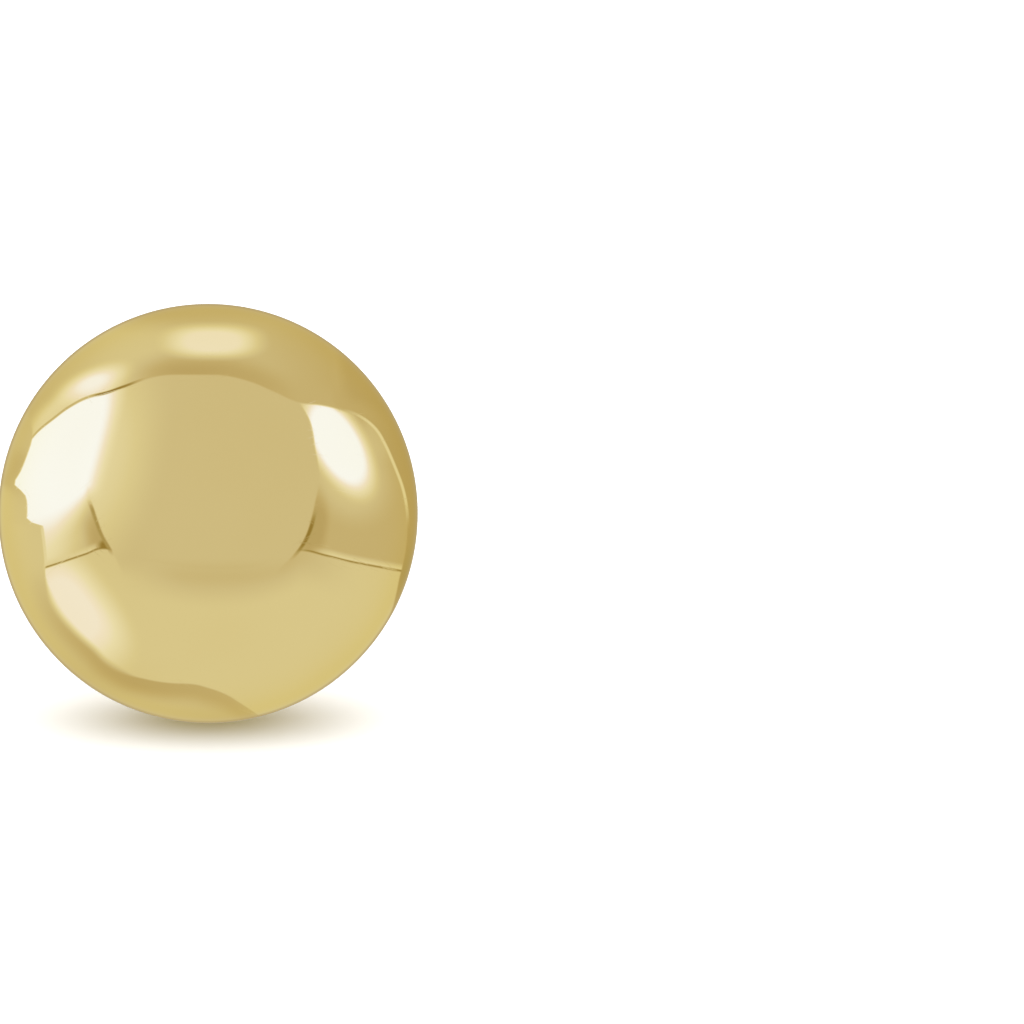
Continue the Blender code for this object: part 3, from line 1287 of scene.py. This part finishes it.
    wall_patches: tuple[Patch, ...] = (
        Patch("left_wall_glow", (-0.82, -0.08), (0.2, 0.24), 0.86, softness=0.7),
        Patch("left_shade", (-0.5, -0.12), (0.06, 0.1), 0.52, softness=0.7, turn=0.4),
        Patch("left_corner", (-0.487, -0.15), (0.032, 0.024), 0.31, softness=0.6, turn=0.35),
        Patch("right_shade", (0.5, -0.05), (0.06, 0.17), 0.5, softness=0.4, turn=-0.1),
        Patch("right_wall_edge", (0.8, 0.36), (0.07, 0.1), 0.63, softness=0.6, turn=0.6),
        Patch("right_lamp_glow", (0.66, 0.2), (0.15, 0.2), 0.7, softness=0.6, turn=0.5),
        Patch("right_lamp", (0.612, 0.33), (0.12, 0.26), 0.965, softness=0.3, turn=0.52),
    )
    lamp_foot: Line = (
        (-1.0, -0.1), (-0.85, -0.1), (-0.76, -0.08), (-0.66, -0.03), (-0.58, 0.03), (-0.5, 0.06),
        (1.0, 0.06),
    )
    front_patches: tuple[Patch, ...] = (
        Patch("front_glow", (-0.6, 0.25), (0.26, 0.5), 0.78, softness=0.6, turn=-0.25),
    )
    lamp_patches: tuple[Patch, ...] = (
        Patch(
            "left_lamp", (-0.77, 0.27), (0.265, 0.5), 0.965, softness=0.2, turn=-0.26, squareness=5.0
        ),
    )
    roof_patches: tuple[Patch, ...] = (
        Patch("roof_edge_shade", (-0.1, 1.02), (0.6, 0.13), 0.585, softness=0.5),
        Patch("roof_band", (-0.71, 0.475), (0.13, 0.045), 0.79, softness=0.9, turn=0.72),
        Patch("roof_glow", (-0.545, 0.622), (0.13, 0.05), 0.945, softness=0.8, turn=0.38),
        Patch("roof_lamp", (0.02, 0.815), (0.2, 0.07), 0.875, softness=0.45, squareness=2.6),
    )
    table_patches: tuple[Patch, ...] = (
        Patch(
            "lamp_on_table", (-0.65, -0.455), (0.16, 0.29), 0.91, softness=0.5, turn=0.63, squareness=2.7
        ),
    )

    def build(self, axis: StudAxis, effects: SharedEffects, camera_way: Vector, table_light: float) -> None:
        """Paints the tent on the world: glossy surfaces reflect it, all else gets even white light.

        Args:
            axis: Where the stud lies; not used.
            effects: The shared node groups.
            camera_way: The direction from the stud to the tent's open front.
            table_light: How bright the even light is.
        """
        world = bpy.data.worlds.new("light_tent")
        world.use_nodes = True
        bpy.context.scene.world = world
        graph = Graph(world.node_tree)
        output = world.node_tree.nodes["World Output"]
        tent = world.node_tree.nodes["Background"]
        level = self._level(TentView.towards(camera_way, graph, effects))
        graph.feed(tent.inputs["Color"], self._tinted(graph, level))
        tent.inputs["Strength"].default_value = 1.0
        even = graph.node("Background")
        even.inputs["Color"].default_value = (1.0, 1.0, 1.0, 1.0)
        even.inputs["Strength"].default_value = table_light
        path = graph.node("LightPath")
        choose = graph.node("MixShader")
        graph.feed(choose.inputs[0], path.outputs["Is Glossy Ray"])
        graph.feed(choose.inputs[1], even.outputs[0])
        graph.feed(choose.inputs[2], tent.outputs[0])
        graph.feed(output.inputs["Surface"], choose.outputs[0])

    def _level(self, view: TentView) -> Socket:
        """How bright the tent is in each direction, its parts laid over one another.

        Args:
            view: Where each direction shows.

        Returns:
            The level, from 0 to 1.
        """
        graph = view.graph
        above_table = view.above(self.table_line)
        above_roof = view.above(self.roof_line)
        level = self._wall_foot(view, view.lay(self.wall_level, self.wall_patches), above_table)
        level = graph.blend(self._table(view, above_table), level, graph.above_nought(above_table))
        lamp = view.lay(level, self.lamp_patches)
        lit = graph.soft_step(view.above(self.lamp_foot), -self.lamp_foot_blur, self.lamp_foot_blur)
        level = self._front(view, graph.blend(level, lamp, lit))
        level = graph.blend(level, self._roof(view, above_roof), graph.above_nought(above_roof))
        seam = graph.ridge(above_roof, self.roof_seam_width, graph.line(view.across, self.roof_seam))
        level = self._rim(view, graph.blend(level, self.roof_seam_level, seam))
        return graph.blend(level, self.behind_level, graph.soft_step(view.ahead, *self.behind_step))

    def _wall_foot(self, view: TentView, level: Value, above: Socket) -> Socket:
        """The light fold and the dark seam where the side walls meet the table.

        Args:
            view: Where each direction shows.
            level: The walls' level.
            above: The height above the table's line.

        Returns:
            The walls' level, with their foot.
        """
        graph = view.graph
        left = graph.soft_step(view.across, *self.left_fold)
        right = graph.soft_step(view.across, *self.right_fold)
        sides = graph.maths("MAXIMUM", left, right)
        fold = graph.maths("MULTIPLY", sides, graph.soft_step(above, *self.fold_height))
        level = graph.blend(level, self.fold_level, fold)
        beside = graph.soft_step(graph.maths("ABSOLUTE", view.across), *self.foot_seam_span)
        return graph.blend(level, self.foot_seam_level, graph.ridge(above, self.foot_seam_width, beside))

    def _table(self, view: TentView, above: Socket) -> Socket:
        """The table, a little darker just in front of the tent's closed front.

        Args:
            view: Where each direction shows.
            above: The height above the table's line.

        Returns:
            The table's level.
        """
        graph = view.graph
        close = graph.soft_step(above, *self.table_shade_depth)
        shade = graph.maths("MULTIPLY", close, graph.between(view.across, *self.table_shade_span))
        return view.lay(graph.blend(self.table_level, self.table_shade_level, shade), self.table_patches)

    def _front(self, view: TentView, level: Value) -> Socket:
        """The tent's closed front, lit from the left, with the shade in its two lower corners.

        Args:
            view: Where each direction shows.
            level: What the front stands before.

        Returns:
            The level with the front.
        """
        graph = view.graph
        left = graph.maths("SUBTRACT", view.across, graph.line(view.up, self.front_left))
        right = graph.maths("SUBTRACT", graph.line(view.up, self.front_right), view.across)
        for inward, span, width, shade in (
            (left, self.left_corner_span, self.left_corner_width, self.left_corner_level),
            (right, self.right_corner_span, self.right_corner_width, self.right_corner_level),
        ):
            beside = graph.maths("ADD", inward, self.corner_shift)
            level = graph.blend(level, shade, graph.ridge(beside, width, graph.between(view.up, *span)))
        front = view.lay(self.front_level, self.front_patches)
        lamp = view.lay(front, self.lamp_patches)
        front = graph.blend(front, lamp, graph.soft_step(view.up, *self.lamp_end))
        inside = graph.maths("MULTIPLY", graph.above_nought(left), graph.above_nought(right))
        inside = graph.maths("MULTIPLY", inside, graph.soft_step(view.up, *self.front_foot))
        return graph.blend(level, front, inside)

    def _roof(self, view: TentView, above: Socket) -> Socket:
        """The loose roof, lit by the left lamp and shaded where it sags in the middle.

        Args:
            view: Where each direction shows.
            above: The height above the roof's line.

        Returns:
            The roof's level.
        """
        near = view.graph.line(view.across, self.roof_near)
        far = view.graph.line(view.across, self.roof_far)
        level = view.graph.blend(near, far, view.graph.soft_step(above, *self.roof_depth))
        return view.lay(level, self.roof_patches)

    def _rim(self, view: TentView, level: Value) -> Socket:
        """The room behind the stud, past the tent's back edge.

        A turn is an angle round the ball's rim as a share of half a turn: 0 below, 0.5 to the
        right, 1 or -1 above and -0.5 to the left.

        Args:
            view: Where each direction shows.
            level: The level inside the tent.

        Returns:
            The level with the room.
        """
        graph = view.graph
        turn = graph.maths("ARCTAN2", view.across, graph.maths("MULTIPLY", view.up, -1.0))
        turn = graph.maths("DIVIDE", turn, math.pi)
        reach = graph.vector("LENGTH", view.place)
        outside = graph.maths("SUBTRACT", reach, graph.line(turn, self.rim_line))
        near = graph.line(turn, self.rim_near)
        far = graph.line(turn, self.rim_far)
        room = graph.blend(near, far, graph.soft_step(outside, *self.rim_depth))
        below = graph.between(turn, *self.soft_rim_span)
        from_middle = graph.maths("ABSOLUTE", graph.maths("SUBTRACT", turn, self.roof_rim_middle))
        soft = graph.maths("MAXIMUM", below, graph.soft_step(from_middle, *self.roof_rim_step))
        blur = graph.blend(self.rim_crisp, self.rim_soft, soft)
        start = graph.maths("MULTIPLY", blur, self.rim_lead)
        level = graph.blend(level, room, graph.soft_step(outside, start, blur))
        left_edge = graph.between(turn, *self.left_edge_span)
        edge = graph.maths("MAXIMUM", left_edge, graph.between(turn, *self.right_edge_span))
        from_edge = graph.maths("SUBTRACT", outside, self.edge_shift)
        return graph.blend(level, self.edge_level, graph.ridge(from_edge, self.edge_width, edge))

    def _tinted(self, graph: Graph, level: Socket) -> Socket:
        """Turns a level into light: warm in the shade of the room, cool and strong at the lamps.

        Args:
            graph: The world's graph.
            level: The level, from 0 to 1.

        Returns:
            The light's colour.
        """
        ramp = graph.node("ValToRGB")
        elements = ramp.color_ramp.elements
        while len(elements) < len(self.tints):
            elements.new(0.5)
        for element, (position, light) in zip(elements, self.tints):
            element.position = position
            element.color = (*(part / self.glare for part in light), 1.0)
        graph.feed(ramp.inputs[0], level)
        scaled = graph.node("VectorMath", operation="SCALE")
        graph.feed(scaled.inputs[0], ramp.outputs["Color"])
        scaled.inputs["Scale"].default_value = self.glare
        return scaled.outputs[0]


@dataclass(frozen=True)
class Table:
    """The plain white table top, which isn't part of the earring."""

    half_size: float = 1.2
    white: float = 0.9

    def build(self) -> bpy.types.Object:
        """Makes the table top.

        Returns:
            The floor, left out of the gold's own reflections.
        """
        mesh = bmesh.new()
        bmesh.ops.create_grid(mesh, x_segments=1, y_segments=1, size=self.half_size)
        floor = as_object(mesh, "table_top", Matrix.Identity(4))
        material = bpy.data.materials.new("white_table")
        material.use_nodes = True
        shader = material.node_tree.nodes["Principled BSDF"]
        shader.inputs["Base Color"].default_value = (self.white, self.white, self.white, 1.0)
        shader.inputs["Roughness"].default_value = 1.0
        shader.inputs["Specular IOR Level"].default_value = 0.0
        floor.data.materials.append(material)
        floor.visible_glossy = False
        return floor


@dataclass(frozen=True)
class PhotoCamera:
    """A long lens that looks straight along the post at the front of the ball."""

    lens: float = 300.0
    sensor: float = 36.0
    picture: float = 1024.0
    ball_centre_px: tuple[float, float] = (208.3, 513.4)
    ball_radius_px: float = 209.5

    def build(self, axis: StudAxis, ball_radius: float) -> bpy.types.Object:
        """Places the camera so that the ball has the photograph's size and place.

        Args:
            axis: Where the stud lies.
            ball_radius: The ball's real radius.

        Returns:
            The camera.
        """
        data = bpy.data.cameras.new("camera")
        data.lens = self.lens
        data.sensor_width = self.sensor
        data.clip_start = 1 * MM
        data.clip_end = 10.0
        camera = bpy.data.objects.new("camera", data)
        bpy.context.scene.collection.objects.link(camera)
        away = ball_radius * self.picture / self.ball_radius_px * self.lens / self.sensor
        camera.location = axis.centre - axis.along * away
        pixel = self.sensor / self.picture / self.lens
        pan = math.atan((self.picture / 2 - self.ball_centre_px[0]) * pixel)
        tilt = math.atan((self.ball_centre_px[1] - self.picture / 2) * pixel)
        level = Matrix.Rotation(QUARTER - axis.slope, 4, "X")
        turned = Matrix.Rotation(-pan, 4, "Y") @ Matrix.Rotation(tilt, 4, "X")
        camera.rotation_euler = (level @ turned).to_euler()
        bpy.context.scene.camera = camera
        return camera


def main() -> None:
    """Builds the earring and its studio, and reports each piece."""
    logging.basicConfig(level=logging.INFO, format="%(name)s: %(message)s")
    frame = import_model()
    ball_and_post = BallAndPost()
    axis = StudAxis.from_frame(frame, ball_and_post.tip_at)
    effects = SharedEffects()
    finishes = {
        Zone.BALL: GoldFinish("mirror_gold").build(effects, axis),
        Zone.SOLDER: GoldFinish(
            "soldered_gold", tone=(0.96, 0.78, 0.38), clear=0.12, dull=0.26, patch_size=0.3 * MM
        ).build(effects, axis),
        Zone.POST: GoldFinish(
            "drawn_gold", clear=0.08, dull=0.16, grain_depth=0.0006 * MM, patch_size=0.8 * MM
        ).build(effects, axis),
    }
    stamped = GoldFinish(
        "rolled_sheet_gold",
        tone=(0.97, 0.765, 0.33),
        clear=0.09,
        dull=0.2,
        grain_depth=0.0008 * MM,
        patch_size=0.9 * MM,
        coordinates=Coordinates.ALONG_THE_SHEET,
    ).build(effects, axis)
    pieces = [
        ball_and_post.build(axis, finishes),
        FrictionBack().build(axis, ball_and_post, stamped),
    ]
    for piece in pieces:
        LOG.info("%s: %d faces", piece.name, len(piece.data.polygons))
    Table().build()
    LightTent().build(axis, effects, -axis.along, table_light=1.9)
    PhotoCamera().build(axis, ball_and_post.ball_radius)
    bpy.context.scene.view_settings.view_transform = "Standard"


if __name__ == "__main__":
    main()
